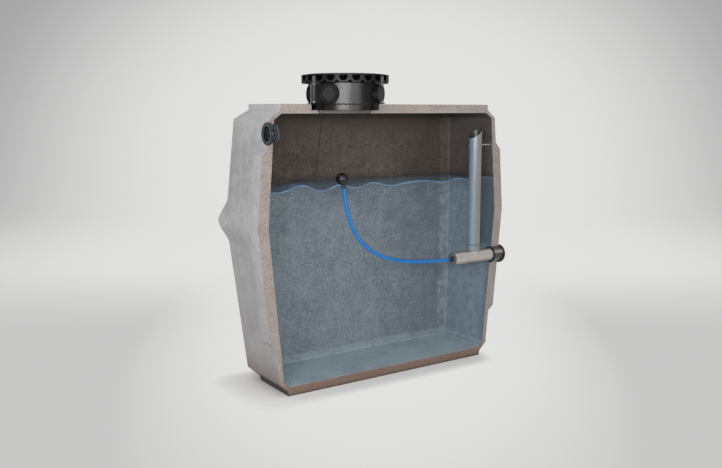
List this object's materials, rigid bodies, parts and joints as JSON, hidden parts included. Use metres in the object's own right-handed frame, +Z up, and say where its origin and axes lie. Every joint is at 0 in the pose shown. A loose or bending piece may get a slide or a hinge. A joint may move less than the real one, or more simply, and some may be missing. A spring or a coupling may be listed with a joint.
{
  "type": "sectioned rainwater tank",
  "caption": "Precast concrete rainwater tank cut along its middle, with manhole neck and lid, pipe seals, overflow tee with riser, and a floating draw-off hose.",
  "frame": {"origin": "middle of the plinth's underside, on the ground", "axes": "+Z up, +X along the tank towards the overflow, +Y away from the cut face"},
  "size_m": [2.466, 1.122, 2.475],
  "materials": {
    "concrete": "cast concrete, matt",
    "black_rubber": "moulded, satin",
    "grey_pipe": "smooth, glossy",
    "grey_steel": "galvanised",
    "dark_fitting": "satin",
    "blue_hose": "smooth",
    "float_black": "smooth",
    "black_plastic": "moulded, satin"
  },
  "bodies": {
    "root": {"base_plinth": "concrete", "floor_slab": "concrete", "roof_left": "concrete", "roof_manhole": "concrete", "roof_right": "concrete", "left_end_rib": "concrete", "right_end_rib": "concrete", "left_end_wall_lower": "concrete", "left_end_wall_upper": "concrete", "left_end_belt": "concrete", "left_corner_wall_lower": "concrete", "left_corner_wall_upper": "concrete", "left_corner_belt": "concrete", "back_wall_lower": "concrete", "back_wall_upper": "concrete", "back_belt": "concrete", "right_corner_wall_lower": "concrete", "right_corner_wall_upper": "concrete", "right_corner_belt": "concrete", "right_end_wall_lower": "concrete", "right_end_wall_upper": "concrete", "right_end_belt": "concrete", "inlet_seal": "black_rubber", "outlet_seal": "black_rubber", "drain_tee": "grey_pipe", "tee_end_cap": "grey_pipe", "riser_pipe": "grey_pipe", "riser_clamp": "grey_steel", "stay_rod": "grey_steel", "stay_plate": "grey_steel", "hose_tail": "dark_fitting", "suction_hose": "blue_hose", "float_ball": "float_black", "float_strap": "dark_fitting", "float_socket": "dark_fitting", "manhole_neck": "black_plastic", "lid": "black_plastic", "port_cap_1": "black_plastic", "port_cap_2": "black_plastic", "port_cap_3": "black_plastic", "tie_rod_1": "grey_steel", "lid_clip_1": "grey_steel", "anchor_1": "black_plastic", "tie_rod_2": "grey_steel", "lid_clip_2": "grey_steel", "anchor_2": "black_plastic", "tie_rod_3": "grey_steel", "lid_clip_3": "grey_steel", "anchor_3": "black_plastic", "tie_rod_4": "grey_steel", "lid_clip_4": "grey_steel", "anchor_4": "black_plastic"}
  },
  "joints": []
}
